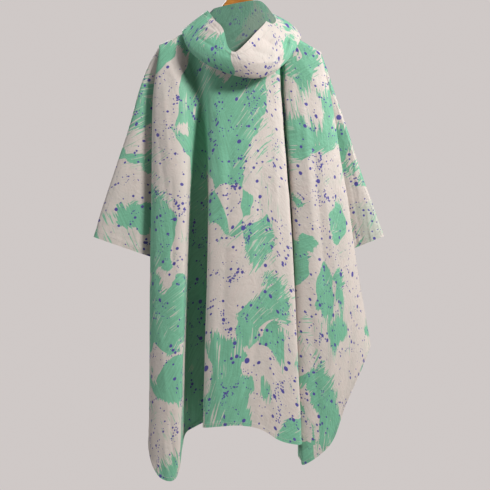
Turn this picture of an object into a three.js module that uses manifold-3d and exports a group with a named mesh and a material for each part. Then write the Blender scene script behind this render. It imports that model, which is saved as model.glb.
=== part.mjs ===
// A hooded rain poncho hanging by its shoulders on a wooden hanger. Millimetres, +Z up.
// The poncho's back faces -Y and the wearer's left is at -X. The origin is the inside of the
// hook's top, where the hanger hangs on its rail.
import * as THREE from "three";
import { mergeVertices } from "three/addons/utils/BufferGeometryUtils.js";
import Module from "manifold-3d";

const wasm = await Module();
wasm.setup();

// Cloth: coated taffeta, drawn thicker than life so that it is a solid wall.
const wall = 1.4;
const seamGap = 0.3;
const laidApart = wall + seamGap; // between the middles of two layers laid together at a seam
const lapped = wall + 3 * seamGap; // the same where the sleeve lies under the panels' edges
const restGap = 1.4; // from the hanger's wood to the cloth that rests on it

// Overall lines of the hanging garment.
const shoulderReach = 202; // from the middle to the end of the shoulder seam
const levels = [0, 0.14, 0.5, 1]; // shoulder, chest, hip and hem, as a share of the fall

// Hanger.
const hangerReach = 194;
const hangerTilt = 0.043; // fall to the right for each millimetre along the bar
const barRound = 10; // height of the bar's rounded top
const woodMiddleHalf = 8;
const woodEndHalf = 13;
const wireRadius = 2;
const hookRadius = 20; // to the middle of the wire
const HANGER_TOP = [
  { out: 0, z: -84 },
  { out: 20, z: -88 },
  { out: 33, z: -105 },
  { out: 50, z: -127 },
  { out: 77, z: -151 },
  { out: 100, z: -168 },
  { out: 150, z: -201 },
  { out: 206, z: -231 },
];
const HANGER_HEIGHT = [
  { out: 0, high: 60 },
  { out: 34, high: 46 },
  { out: 60, high: 36 },
  { out: 194, high: 24 },
];

// The neckline, round from the throat by the left shoulder, the back and the right shoulder.
// rim is the fold at the foot of the fallen hood, edge its face opening, puff its fullness.
const HOOD = [
  { neck: [-4, 30, -214], rim: [-9, 46, -219], edge: [-4, 39, -196], puff: 2 },
  { neck: [-42, 27, -190], rim: [-74, 54, -228], edge: [-46, 42, -172], puff: 6 },
  { neck: [-65, 16.5, -162], rim: [-122, 42, -216], edge: [-78, 27, -143], puff: 5 },
  { neck: [-74.5, 10, -146], rim: [-137, 24, -194], edge: [-80, 11, -136], puff: 2.5 },
  { neck: [-77, -1, -142.5], rim: [-144, -6, -184], edge: [-80, -8, -135], puff: 2 },
  { neck: [-62, -12, -137.5], rim: [-134, -40, -224], edge: [-62, -34, -163], puff: 5 },
  { neck: [-45, -13, -133.5], rim: [-109, -58, -258], edge: [-41, -62, -194], puff: 12 },
  { neck: [-22, -13, -129], rim: [-66, -74, -289], edge: [-29, -84, -241], puff: 13 },
  { neck: [4, -13, -124], rim: [0, -80, -313], edge: [-12, -90, -257], puff: 12 },
  { neck: [28, -13, -120], rim: [52, -78, -314], edge: [11, -86, -237], puff: 14 },
  { neck: [48, -13, -121], rim: [98, -66, -288], edge: [38, -64, -203], puff: 14 },
  { neck: [63, -12, -133], rim: [132, -44, -244], edge: [61, -36, -172], puff: 11 },
  { neck: [72, -1, -145], rim: [151, -8, -200], edge: [74, -9, -140], puff: 9 },
  { neck: [69.5, 10, -149], rim: [143, 24, -207], edge: [76, 10, -139], puff: 8 },
  { neck: [60, 16.5, -165], rim: [122, 42, -222], edge: [74, 27, -145], puff: 8 },
  { neck: [39, 27, -191], rim: [70, 54, -228], edge: [43, 42, -173], puff: 6 },
  { neck: [4, 30, -214], rim: [9, 46, -219], edge: [4, 39, -196], puff: 2 },
];
const backNeck = 8; // the row at the middle of the back
const leftNeck = 4; // the rows where the neckline crosses the shoulder seams
const rightNeck = 12;

// Lines that run down the cloth from shoulder to hem, from left to right. x is given at the
// four levels, and out is how far the line stands out from the hanger at chest, hip and hem.
const BACK = [
  { line: "left seam", x: [-202, -190, -187, -185], out: [-9, -12, -12], hem: -1122 },
  { line: "left underlap", x: [-201, -200, -202, -206], out: [-1, -5, -4], hem: -1150 },
  { line: "left fold", x: [-199, -215, -221, -225], out: [1, 4, 6], hem: -1196 },
  { line: "left fold face", x: [-196, -211, -217, -223], out: [12, 16, 18], hem: -1228 },
  { line: "left crease", x: [-190, -197, -206, -215], out: [19, 26, 27], hem: -1254 },
  { line: "left panel", x: [-176, -176, -184, -198], out: [23, 34, 36], hem: -1281 },
  { line: "left point", x: [-162, -155, -163, -176], out: [24, 38, 40], hem: -1291 },
  { line: "left shoulder", x: [-150, -140, -145, -158], out: [20, 36, 38], hem: -1287 },
  { line: "left roll", x: [-144, -130, -134, -147], out: [14, 26, 29], hem: -1264 },
  { line: "recess wall", x: [-139, -122, -131, -143], out: [8, 2, 6], hem: -1220 },
  { line: "recess left", x: [-132, -114, -126, -138], out: [3, -32, -30], hem: -1192 },
  { line: "recess floor", x: [-122, -105, -105, -112], out: [1, -42, -40], hem: -1176 },
  { line: "recess right", x: [-111, -96, -84, -90], out: [3, -34, -32], hem: -1164 },
  { line: "recess return", x: [-104, -88, -77, -84], out: [7, -4, -4], hem: -1160 },
  { line: "centre left edge", x: [-98, -81, -79, -90], out: [13, 22, 24], hem: -1163 },
  { line: "centre left face", x: [-91, -73, -72, -83], out: [18, 35, 37], hem: -1162 },
  { line: "centre left", x: [-72, -54, -44, -50], out: [21, 42, 44], hem: -1158 },
  { line: "centre", x: [-30, -18, -4, 0], out: [23, 46, 47], hem: -1155 },
  { line: "centre right", x: [25, 30, 45, 50], out: [22, 44, 46], hem: -1165 },
  { line: "centre outer", x: [66, 66, 88, 98], out: [20, 40, 43], hem: -1193 },
  { line: "centre right face", x: [90, 92, 119, 142], out: [16, 35, 38], hem: -1204 },
  { line: "centre right edge", x: [96, 99, 127, 151], out: [8, 24, 28], hem: -1203 },
  { line: "narrow recess wall", x: [100, 98, 124, 145], out: [-4, 4, 8], hem: -1226 },
  { line: "narrow recess", x: [106, 104.5, 128, 147], out: [-15, -28, -16], hem: -1243 },
  { line: "right edge", x: [110, 109.5, 132, 151], out: [1, 6, 12], hem: -1248 },
  { line: "right face", x: [116, 114, 136, 157], out: [10, 20, 24], hem: -1256 },
  { line: "right panel", x: [136, 142, 169, 198], out: [14, 28, 30], hem: -1228 },
  { line: "right fall", x: [154, 168, 198, 230], out: [15, 28, 29], hem: -1190 },
  { line: "right outer", x: [170, 190, 225, 258], out: [14, 25, 25], hem: -1112 },
  { line: "right fold face", x: [190, 213, 252, 300], out: [9, 16, 14], hem: -1020 },
  { line: "right fold", x: [197, 222, 264, 321], out: [1, 5, -2], hem: -970 },
  { line: "right underlap", x: [200, 206, 248, 321], out: [-1, -6, -11], hem: -966 },
  { line: "right seam", x: [202, 193, 236, 320], out: [-9, -12, -12], hem: -965 },
];
const FRONT = [
  { line: "left seam", x: [-202, -190, -187, -185], out: [-9, -12, -12], hem: -1122 },
  { line: "left underlap", x: [-201, -199, -200, -203], out: [-1, -5, -4], hem: -1124 },
  { line: "left fold", x: [-199, -211, -216, -220], out: [2, 8, 10], hem: -1130 },
  { line: "left fold face", x: [-195, -205, -210, -214], out: [11, 19, 21], hem: -1138 },
  { line: "left panel", x: [-165, -162, -166, -175], out: [13, 16, 17], hem: -1166 },
  { line: "left rise", x: [-116, -112, -114, -120], out: [16, 30, 32], hem: -1156 },
  { line: "left slope", x: [-84, -80, -82, -84], out: [15, 24, 26], hem: -1145 },
  { line: "left neck", x: [-78, -72, -70, -72], out: [15, 21, 21], hem: -1142 },
  { line: "left neck front", x: [-74.5, -64, -60, -61], out: [15, 17, 16], hem: -1139 },
  { line: "left neck foot", x: [-65, -54, -49, -50], out: [14, 12, 10], hem: -1136 },
  { line: "left valley", x: [-42, -36, -33, -33], out: [12, 9, 7], hem: -1132 },
  { line: "centre", x: [-6, -2, 0, 0], out: [15, 17, 18], hem: -1127 },
  { line: "throat", x: [6, 10, 14, 15], out: [16, 20, 21], hem: -1127 },
  { line: "centre right", x: [39, 42, 47, 50], out: [16, 20, 21], hem: -1133 },
  { line: "right neck foot", x: [60, 63, 70, 76], out: [15, 16, 16], hem: -1138 },
  { line: "right neck front", x: [69.5, 74, 84, 92], out: [14, 11, 11], hem: -1142 },
  { line: "right neck", x: [73, 82, 96, 105], out: [13, 10, 9], hem: -1146 },
  { line: "right valley", x: [80, 92, 110, 122], out: [14, 13, 13], hem: -1152 },
  { line: "right rise", x: [110, 120, 145, 162], out: [16, 26, 28], hem: -1168 },
  { line: "right panel", x: [150, 163, 200, 226], out: [15, 23, 25], hem: -1142 },
  { line: "right outer", x: [182, 200, 240, 286], out: [10, 14, 12], hem: -1056 },
  { line: "right fold", x: [197, 216, 258, 318], out: [1, 4, -2], hem: -982 },
  { line: "right underlap", x: [200, 204, 248, 320], out: [-1, -6, -11], hem: -969 },
  { line: "right seam", x: [202, 193, 236, 320], out: [-9, -12, -12], hem: -965 },
];
const BACK_ROWS = [
  0, 0.0008, 0.003, 0.0065, 0.012, 0.022, 0.038, 0.065, 0.1, 0.14, 0.2, 0.28, 0.38, 0.5, 0.62,
  0.74, 0.86, 0.94, 1,
];
const FRONT_ROWS = [0, 0.0008, 0.003, 0.0065, 0.012, 0.025, 0.045, 0.09, 0.16, 0.27, 0.4, 0.55, 0.7, 0.85, 1];

// Each sleeve hangs as a flat tube from the shoulder's end to the cuff. under is the underarm's
// height, drawnIn the length over which the armhole's edges come together below the hanger, full
// the tube's half depth, and bow how far its outer edge stands beyond a straight line, at five
// places down.
const SLEEVE = {
  left: {
    side: -1,
    corner: [-365, 0, -697],
    cuff: [-190, 0, -758],
    under: -742,
    drawnIn: 80,
    full: 13,
    bow: [10, 12, 6, 5, 4],
  },
  right: {
    side: 1,
    corner: [358, 0, -695],
    cuff: [270, 0, -731],
    under: -718,
    drawnIn: 200,
    full: 12,
    bow: [1, 0, 0, -2, 0],
  },
};
const BOW_AT = [0, 0.1, 0.22, 0.42, 0.65, 0.85, 1];
const SLEEVE_ACROSS = [0, 0.12, 0.22, 0.29, 0.34, 0.38, 0.42, 0.455, 0.48, 0.493, 0.5];
const SLEEVE_DOWN = [0, 0.03, 0.1, 0.2, 0.35, 0.5, 0.65, 0.8, 0.92, 1];

const smooth = (low, high, at) => THREE.MathUtils.smoothstep(at, low, high);
const between = (a, b, share) => a + (b - a) * share;

// A smooth curve through values given at rising knots: cubic pieces that never overshoot much.
function through(knots, values, at) {
  const last = knots.length - 1;
  let i = 0;
  while (i < last - 1 && at > knots[i + 1]) i += 1;
  const slope = (k) => {
    if (k <= 0 || k >= last) return null;
    return (values[k + 1] - values[k - 1]) / (knots[k + 1] - knots[k - 1]);
  };
  const span = knots[i + 1] - knots[i];
  const chord = (values[i + 1] - values[i]) / span;
  const from = slope(i) ?? chord;
  const to = slope(i + 1) ?? chord;
  const t = Math.min(Math.max((at - knots[i]) / span, 0), 1);
  const keep = (1 - t) * (1 - t) * (1 + 2 * t);
  return (
    keep * values[i] +
    (1 - keep) * values[i + 1] +
    t * (1 - t) * (1 - t) * span * from -
    t * t * (1 - t) * span * to
  );
}

const woodTop = (x) =>
  through(
    HANGER_TOP.map((row) => row.out),
    HANGER_TOP.map((row) => row.z),
    Math.abs(x),
  ) - hangerTilt * x;
const woodHigh = (x) =>
  through(
    HANGER_HEIGHT.map((row) => row.out),
    HANGER_HEIGHT.map((row) => row.high),
    Math.min(Math.abs(x), hangerReach),
  );
const woodHalf = (x) => between(woodMiddleHalf, woodEndHalf, Math.min(Math.abs(x) / hangerReach, 1));
const clothClear = restGap + wall / 2; // from the wood's face to the middle of the cloth on it
const ridge = (x) => woodTop(x) + clothClear;

// How far the cloth stands from the middle plane where it lies over the bar, at a height.
function overBar(x, z) {
  const round = barRound + clothClear;
  const down = Math.min(Math.max((ridge(x) - z) / round, 0), 1);
  const half = woodHalf(x) + clothClear;
  return half * Math.sqrt(1 - (1 - down) * (1 - down));
}

// The lowest height at which cloth passes over the bar, at a distance from the middle plane.
function barCrest(x, y) {
  const half = woodHalf(x) + clothClear;
  const aside = Math.min(Math.abs(y) / half, 1);
  return aside < 1 ? ridge(x) - (barRound + clothClear) * (1 - Math.sqrt(1 - aside * aside)) : -Infinity;
}

// The neckline's height and depth at a place across the back or the front.
function neckAt(x, isBack) {
  const rows = isBack
    ? HOOD.slice(leftNeck, rightNeck + 1)
    : [...HOOD.slice(rightNeck), ...HOOD.slice(0, leftNeck + 1)].reverse();
  const knots = rows.map((row) => row.neck[0]);
  const y = through(knots, rows.map((row) => row.neck[1]), x);
  const z = through(knots, rows.map((row) => row.neck[2]), x);
  return { y: Math.abs(y), z: Math.max(z - 2 * seamGap, barCrest(x, y)) };
}

// Depth of the armhole and side seams on a sleeve's side: over the bar's end, then in behind
// the fold, and closed below the underarm.
function seamDepth(z, top, { under, drawnIn }) {
  const fall = top - z;
  const nearBar = overBar(shoulderReach, ridge(shoulderReach) - fall);
  const hidden = between(nearBar, 5, Math.min(Math.max((fall - 14) / drawnIn, 0), 1));
  return between(laidApart / 2, hidden, smooth(under, under + 60, z));
}

// One point of the back or front panel: u counts along the table's lines, v down the fall.
function panelPoint(table, isBack, u, v) {
  const knots = table.map((row, i) => i);
  const at = (pick) => through(knots, table.map(pick), u);
  const x0 = at((row) => row.x[0]);
  const x = through(levels, levels.map((level, i) => at((row) => row.x[i])), v);
  const inNeck = x0 > HOOD[leftNeck].neck[0] && x0 < HOOD[rightNeck].neck[0];
  const neck = inNeck ? neckAt(x0, isBack) : { y: 0, z: ridge(x0) };
  const z = between(neck.z, at((row) => row.hem), v);
  const out = through(levels, [0, ...[0, 1, 2].map((i) => at((row) => row.out[i]))], v);
  const belowBar = smooth(-4, 50, woodTop(x0) - woodHigh(x0) - z);
  const base = Math.max(overBar(x0, z), neck.y * (1 - smooth(0, 0.3, v)));
  let depth = base + Math.max(out, 0) + Math.min(out, 0) * belowBar;
  const toSeam = Math.min(u, table.length - 1 - u);
  if (toSeam < 1) {
    depth = between(seamDepth(z, neck.z, u < 1 ? SLEEVE.left : SLEEVE.right), depth, toSeam);
  }
  if (v === 0 && !inNeck) depth = laidApart / 2;
  return new THREE.Vector3(x, isBack ? -depth : depth, z);
}

// Unit normals of a grid of points, from the points on either side.
function gridNormals(grid) {
  return grid.map((row, i) =>
    row.map((point, j) => {
      const down = grid[Math.min(i + 1, grid.length - 1)][j]
        .clone()
        .sub(grid[Math.max(i - 1, 0)][j]);
      const along = row[Math.min(j + 1, row.length - 1)].clone().sub(row[Math.max(j - 1, 0)]);
      return along.cross(down).normalize();
    }),
  );
}

// A closed wall of cloth: the grid moved half the thickness to each side, joined round its rim.
function clothWall(grid, normals, thickness) {
  const rows = grid.length;
  const columns = grid[0].length;
  const position = [];
  for (const side of [1, -1])
    grid.forEach((row, i) =>
      row.forEach((point, j) => {
        const moved = point.clone().addScaledVector(normals[i][j], (side * thickness) / 2);
        position.push(moved.x, moved.y, moved.z);
      }),
    );
  const face = (side, i, j) => side * rows * columns + i * columns + j;
  const index = [];
  const quad = (a, b, c, d) => index.push(a, b, c, a, c, d);
  for (let i = 0; i < rows - 1; i += 1)
    for (let j = 0; j < columns - 1; j += 1) {
      quad(face(0, i, j), face(0, i, j + 1), face(0, i + 1, j + 1), face(0, i + 1, j));
      quad(face(1, i, j), face(1, i + 1, j), face(1, i + 1, j + 1), face(1, i, j + 1));
    }
  for (let j = 0; j < columns - 1; j += 1) {
    quad(face(0, 0, j), face(1, 0, j), face(1, 0, j + 1), face(0, 0, j + 1));
    const i = rows - 1;
    quad(face(0, i, j), face(0, i, j + 1), face(1, i, j + 1), face(1, i, j));
  }
  for (let i = 0; i < rows - 1; i += 1) {
    quad(face(0, i, 0), face(0, i + 1, 0), face(1, i + 1, 0), face(1, i, 0));
    const j = columns - 1;
    quad(face(0, i, j), face(1, i, j), face(1, i + 1, j), face(0, i + 1, j));
  }
  const geometry = new THREE.BufferGeometry();
  geometry.setAttribute("position", new THREE.Float32BufferAttribute(position, 3));
  geometry.setIndex(index);
  return geometry;
}

const finish = {
  cloth: { color: 0x8fb9a2, roughness: 0.6, metalness: 0 },
  wood: { color: 0xb9762f, roughness: 0.45, metalness: 0 },
  wire: { color: 0xb8b8b4, roughness: 0.3, metalness: 1 },
};

function piece(name, geometry, look) {
  geometry.computeVertexNormals();
  const mesh = new THREE.Mesh(geometry, new THREE.MeshStandardMaterial(finish[look]));
  mesh.name = name;
  return mesh;
}

// Back and front panels, each one cut of cloth from the left side seam to the right.
function bodyPanel(name, table, isBack, rows) {
  const perLine = 2;
  const across = (table.length - 1) * perLine;
  const grid = rows.map((v) =>
    Array.from({ length: across + 1 }, (_, j) => panelPoint(table, isBack, j / perLine, v)),
  );
  const normals = gridNormals(grid);
  normals[0].forEach((normal, j) => {
    // The shoulder seam's two edges face each other across the middle plane.
    const onRidge = Math.abs(grid[0][j].y) < wall;
    if (onRidge) normal.setY(0).normalize();
  });
  if (!isBack) normals.forEach((row) => row.forEach((normal) => normal.negate()));
  const geometry = clothWall(grid, normals, wall);
  if (!isBack) turnInsideOut(geometry);
  return piece(name, geometry, "cloth");
}

// Reverses the order of each triangle's corners.
function turnInsideOut(geometry) {
  const index = geometry.index.array;
  for (let i = 0; i < index.length; i += 3) [index[i + 1], index[i + 2]] = [index[i + 2], index[i + 1]];
}

// Where the armhole seam runs at a height.
function armholeX(shape, z) {
  const line = BACK[shape.side > 0 ? BACK.length - 1 : 0];
  const top = ridge(shape.side * shoulderReach);
  return through(levels, line.x, (top - z) / (top - line.hem));
}

// A point of the armhole seam on the sleeve's side, from the shoulder's end down to the underarm.
function armholePoint(shape, share) {
  const top = ridge(shape.side * shoulderReach);
  const z = between(top - laidApart, shape.under, share);
  const body = seamDepth(z + laidApart * (1 - share), top, shape);
  const aside = 4 * (1 - Math.min(Math.max((body - lapped - 1) / 2, 0), 1));
  const x = armholeX(shape, z) + shape.side * aside * smooth(0, 0.05, share);
  return new THREE.Vector3(x, Math.max(body - lapped, share > 0 ? laidApart / 2 : 0), z);
}

// One layer of a sleeve: across 0 is the underarm and 0.5 the outer fold, down runs to the cuff.
function sleevePoint(shape, across, down, face) {
  const share = 1 - across / 0.5;
  const start = armholePoint(shape, Math.pow(share, 1.6));
  const corner = new THREE.Vector3(...shape.corner);
  const end = corner.clone().lerp(new THREE.Vector3(...shape.cuff), Math.pow(share, 1.25));
  const point = new THREE.Vector3().lerpVectors(start, end, down);
  point.x += shape.side * through(BOW_AT, [0, ...shape.bow, 0], down) * (1 - share) ** 3;
  const roundFold = Math.sqrt(1 - Math.pow(1 - share, 8));
  const behind = smooth(16, 76, Math.abs(point.x) - Math.abs(armholeX(shape, point.z)));
  const top = ridge(shape.side * shoulderReach);
  const level = Math.max(seamDepth(point.z, top, shape) - lapped, laidApart / 2);
  const nearSeam = between(Math.min(start.y, level), laidApart / 2, share * down);
  point.y = face * between(nearSeam, shape.full, behind * smooth(0, 0.25, down)) * (down > 0 ? roundFold : 1);
  return point;
}

function sleeve(name, shape) {
  const half = SLEEVE_ACROSS;
  const around = [
    ...half.map((across) => ({ across, face: -1 })),
    ...half.slice(0, -1).reverse().map((across) => ({ across, face: 1 })),
  ];
  const grid = SLEEVE_DOWN.map((down) =>
    around.map(({ across, face }) => sleevePoint(shape, across, down, face)),
  );
  if (shape.side < 0) grid.forEach((row) => row.reverse());
  return piece(name, clothWall(grid, gridNormals(grid), wall), "cloth");
}

// The hood's profile at one row of its table: up from the neck seam, over, down inside the
// bag to the rim, and back up outside it to the face opening's edge.
function hoodPoint(row, share) {
  const neck = new THREE.Vector3(...row.neck);
  const rim = new THREE.Vector3(...row.rim);
  const edge = new THREE.Vector3(...row.edge);
  const up = new THREE.Vector3(0, 0, 1);
  const away = rim.clone().sub(neck).setZ(0).normalize();
  const run = rim.clone().sub(neck).normalize();
  const swell = away.clone().add(up);
  swell.addScaledVector(run, -swell.dot(run)).normalize();
  const stand = Math.min(6, row.puff + 1);
  const points = [
    neck.clone().addScaledVector(up, 3 * seamGap),
    neck.clone().addScaledVector(up, stand),
    neck.clone().addScaledVector(up, stand * 1.1).addScaledVector(away, stand * 0.9),
    neck.clone().lerp(rim, 0.5).addScaledVector(swell, 3),
    neck.clone().lerp(rim, 0.88).addScaledVector(swell, 1),
    rim,
    rim.clone().lerp(edge, 0.12).addScaledVector(swell, row.puff * 0.75),
    rim.clone().lerp(edge, 0.5).addScaledVector(swell, row.puff),
    edge,
  ];
  const knots = [0, 0.04, 0.1, 0.36, 0.58, 0.66, 0.72, 0.86, 1];
  const point = new THREE.Vector3(
    through(knots, points.map((p) => p.x), share),
    through(knots, points.map((p) => p.y), share),
    through(knots, points.map((p) => p.z), share),
  );
  return share < 0.1 ? point : clearOfBody(point);
}

// Moves a point of the hood off the shoulders and the panels below it.
function clearOfBody(point) {
  const fall = ridge(point.x) - point.z;
  const body = overBar(point.x, point.z) + 24 * Math.min(Math.max(fall / 150, 0), 1);
  const clear = 4;
  if (fall > clear && Math.abs(point.y) < body + clear) point.y = Math.sign(point.y) * (body + clear);
  if (fall <= clear) point.z = Math.max(point.z, ridge(point.x) + clear);
  return point;
}

const HOOD_DOWN = [0, 0.04, 0.07, 0.1, 0.18, 0.27, 0.36, 0.47, 0.58, 0.62, 0.66, 0.69, 0.72, 0.79, 0.86, 0.93, 1];

// The whole hood as one grid, then a half on each side of the seam at the middle of the back.
function hoodHalves() {
  const perRow = 2;
  const knots = HOOD.map((row, i) => i);
  const blend = (key, axis, u) => through(knots, HOOD.map((row) => row[key][axis]), u);
  const neckOf = (u) => {
    const x = blend("neck", 0, u);
    const onBack = u >= leftNeck && u <= rightNeck;
    const at = neckAt(Math.min(Math.max(x, HOOD[leftNeck].neck[0]), HOOD[rightNeck].neck[0]), onBack);
    return [x, onBack ? -at.y : at.y, at.z];
  };
  const rowAt = (u) => ({
    neck: neckOf(u),
    rim: [0, 1, 2].map((axis) => blend("rim", axis, u)),
    edge: [0, 1, 2].map((axis) => blend("edge", axis, u)),
    puff: through(knots, HOOD.map((row) => row.puff), u),
  });
  const columns = Array.from({ length: (HOOD.length - 1) * perRow + 1 }, (_, j) => rowAt(j / perRow));
  const grid = HOOD_DOWN.map((share) => columns.map((row) => hoodPoint(row, share)));
  const normals = gridNormals(grid);
  const seam = backNeck * perRow;
  const half = (from, to, inward) => {
    const part = grid.map((row) => row.slice(from, to + 1).map((p) => p.clone()));
    part.forEach((row) => {
      const edge = inward > 0 ? 0 : row.length - 1;
      const next = row[edge + inward];
      row[edge].addScaledVector(next.clone().sub(row[edge]).normalize(), seamGap / 2 + 0.05);
    });
    return clothWall(part, normals.map((row) => row.slice(from, to + 1)), wall);
  };
  return [
    piece("hood_left", half(0, seam, -1), "cloth"),
    piece("hood_right", half(seam, columns.length - 1, 1), "cloth"),
  ];
}

function toManifold(geometry) {
  const bare = geometry.clone();
  bare.deleteAttribute("normal");
  bare.deleteAttribute("uv");
  const merged = mergeVertices(bare, 1e-4);
  return new wasm.Manifold(
    new wasm.Mesh({
      numProp: 3,
      vertProperties: merged.attributes.position.array,
      triVerts: new Uint32Array(merged.index.array),
    }),
  );
}

function fromManifold(solid) {
  const made = solid.getMesh();
  const geometry = new THREE.BufferGeometry();
  geometry.setAttribute("position", new THREE.Float32BufferAttribute(made.vertProperties, made.numProp));
  geometry.setIndex(new THREE.BufferAttribute(made.triVerts, 1));
  return geometry;
}

// The hanger's wooden bar: rounded sections along its curve, closed at both ends.
function hangerBar() {
  const stations = 28;
  const around = 14;
  const shankHole = { radius: wireRadius + seamGap + 0.15, deep: 24, sides: 12 };
  const position = [];
  const index = [];
  for (let i = 0; i <= stations; i += 1) {
    const x = between(-hangerReach, hangerReach, i / stations);
    const nearEnd = Math.max(Math.abs(x) - hangerReach + 14, 0) / 14;
    const rounded = Math.sqrt(1 - nearEnd * nearEnd * 0.75);
    const high = woodHigh(x) * rounded;
    const half = woodHalf(x) * rounded;
    const middle = woodTop(x) - (woodHigh(x) - high) / 4 - high / 2;
    for (let k = 0; k < around; k += 1) {
      const turn = (k / around) * 2 * Math.PI;
      const sine = Math.sin(turn);
      const rise = Math.sign(sine) * (high / 2 - barRound + barRound * Math.abs(sine));
      position.push(x, half * Math.cos(turn), middle + (Math.abs(sine) < 1e-6 ? 0 : rise));
    }
  }
  const at = (i, k) => i * around + (k % around);
  for (let i = 0; i < stations; i += 1)
    for (let k = 0; k < around; k += 1)
      index.push(at(i, k), at(i + 1, k + 1), at(i + 1, k), at(i, k), at(i, k + 1), at(i + 1, k + 1));
  for (let k = 1; k < around - 1; k += 1) {
    index.push(at(0, 0), at(0, k + 1), at(0, k));
    index.push(at(stations, 0), at(stations, k), at(stations, k + 1));
  }
  const bar = new THREE.BufferGeometry();
  bar.setAttribute("position", new THREE.Float32BufferAttribute(position, 3));
  bar.setIndex(index);
  const hole = new THREE.CylinderGeometry(shankHole.radius, shankHole.radius, 2 * shankHole.deep, shankHole.sides);
  hole.rotateX(Math.PI / 2).translate(0, 0, woodTop(0));
  return piece("hanger_bar", fromManifold(toManifold(bar).subtract(toManifold(hole))), "wood");
}

// The hook: a wire up out of the bar, over to one side and round in a circle.
function hangerHook() {
  const centre = wireRadius - hookRadius;
  const shankFoot = woodTop(0) - 20;
  const points = [
    new THREE.Vector3(0, 0, shankFoot),
    new THREE.Vector3(0, 0, shankFoot + 18),
    new THREE.Vector3(0, 0, centre - hookRadius - 16),
    new THREE.Vector3(3, 0, centre - hookRadius - 6),
  ];
  const firstTurn = -50;
  const lastTurn = 205;
  const steps = 15;
  for (let i = 0; i <= steps; i += 1) {
    const turn = THREE.MathUtils.degToRad(between(firstTurn, lastTurn, i / steps));
    points.push(new THREE.Vector3(hookRadius * Math.cos(turn), 0, centre + hookRadius * Math.sin(turn)));
  }
  const section = new THREE.Shape().absarc(0, 0, wireRadius, 0, 2 * Math.PI);
  const wire = new THREE.ExtrudeGeometry(section, {
    steps: 40,
    curveSegments: 5,
    bevelEnabled: false,
    extrudePath: new THREE.CatmullRomCurve3(points, false, "centripetal"),
  });
  return piece("hanger_hook", wire, "wire");
}

const poncho = new THREE.Group();
poncho.add(
  bodyPanel("back_panel", BACK, true, BACK_ROWS),
  bodyPanel("front_panel", FRONT, false, FRONT_ROWS),
  sleeve("sleeve_left", SLEEVE.left),
  sleeve("sleeve_right", SLEEVE.right),
  ...hoodHalves(),
  hangerBar(),
  hangerHook(),
);
export default poncho;
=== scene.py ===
"""A hooded rain poncho on a wooden hanger, seen from its back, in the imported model's frame.
Metres, +Z up, the poncho's back faces -Y, the origin is where the hook hangs on its rail."""

import math

import bpy
import numpy as np
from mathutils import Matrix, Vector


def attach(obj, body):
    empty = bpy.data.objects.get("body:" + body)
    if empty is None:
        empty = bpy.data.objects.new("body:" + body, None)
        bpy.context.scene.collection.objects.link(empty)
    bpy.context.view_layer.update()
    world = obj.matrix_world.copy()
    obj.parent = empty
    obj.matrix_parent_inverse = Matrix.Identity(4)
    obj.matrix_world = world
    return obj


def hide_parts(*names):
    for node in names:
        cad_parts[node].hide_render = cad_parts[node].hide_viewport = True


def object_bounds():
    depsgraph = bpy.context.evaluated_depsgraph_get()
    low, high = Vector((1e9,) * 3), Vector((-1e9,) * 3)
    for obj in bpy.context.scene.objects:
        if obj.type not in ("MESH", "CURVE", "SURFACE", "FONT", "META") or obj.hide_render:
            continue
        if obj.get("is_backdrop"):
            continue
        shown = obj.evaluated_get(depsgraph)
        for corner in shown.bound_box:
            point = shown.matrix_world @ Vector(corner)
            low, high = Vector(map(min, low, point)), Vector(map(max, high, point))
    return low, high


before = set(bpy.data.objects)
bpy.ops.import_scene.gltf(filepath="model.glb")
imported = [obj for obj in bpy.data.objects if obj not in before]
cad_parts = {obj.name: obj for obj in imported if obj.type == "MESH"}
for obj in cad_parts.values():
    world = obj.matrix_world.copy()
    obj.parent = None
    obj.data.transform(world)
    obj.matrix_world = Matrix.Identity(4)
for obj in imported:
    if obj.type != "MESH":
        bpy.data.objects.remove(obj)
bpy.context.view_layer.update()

# Hanger bar
# Varnished beech, sawn to a shoulder curve and rounded over. The poncho's shoulders rest on it, so
# its top line also gives the cloth its shoulder line.


def through(knots, values, at):
    """A smooth curve through the values given at rising knots: on each span a cubic whose end
    slopes are those of the chords between each knot's neighbours. at is an array of places."""
    knots, values = np.asarray(knots, float), np.asarray(values, float)
    at = np.asarray(at, float)
    flat = values.reshape(len(knots), -1)
    chord = np.diff(flat, axis=0) / np.diff(knots)[:, None]
    slope = np.empty_like(flat)
    slope[1:-1] = (flat[2:] - flat[:-2]) / (knots[2:] - knots[:-2])[:, None]
    slope[0], slope[-1] = chord[0], chord[-1]
    i = np.clip(np.searchsorted(knots, at.ravel(), side="left") - 1, 0, len(knots) - 2)
    span = (knots[i + 1] - knots[i])[:, None]
    t = np.clip((at.ravel() - knots[i])[:, None] / span, 0, 1)
    keep = (1 - t) ** 2 * (1 + 2 * t)
    out = keep * flat[i] + (1 - keep) * flat[i + 1]
    out += t * (1 - t) ** 2 * span * slope[i] - t**2 * (1 - t) * span * slope[i + 1]
    return out.reshape(at.shape + values.shape[1:])


def smooth(low, high, at):
    """0 below low, 1 above high, and a smooth step between."""
    t = np.clip((np.asarray(at, float) - low) / (high - low), 0, 1)
    return t * t * (3 - 2 * t)


SHARP_EDGE = math.radians(55)


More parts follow.
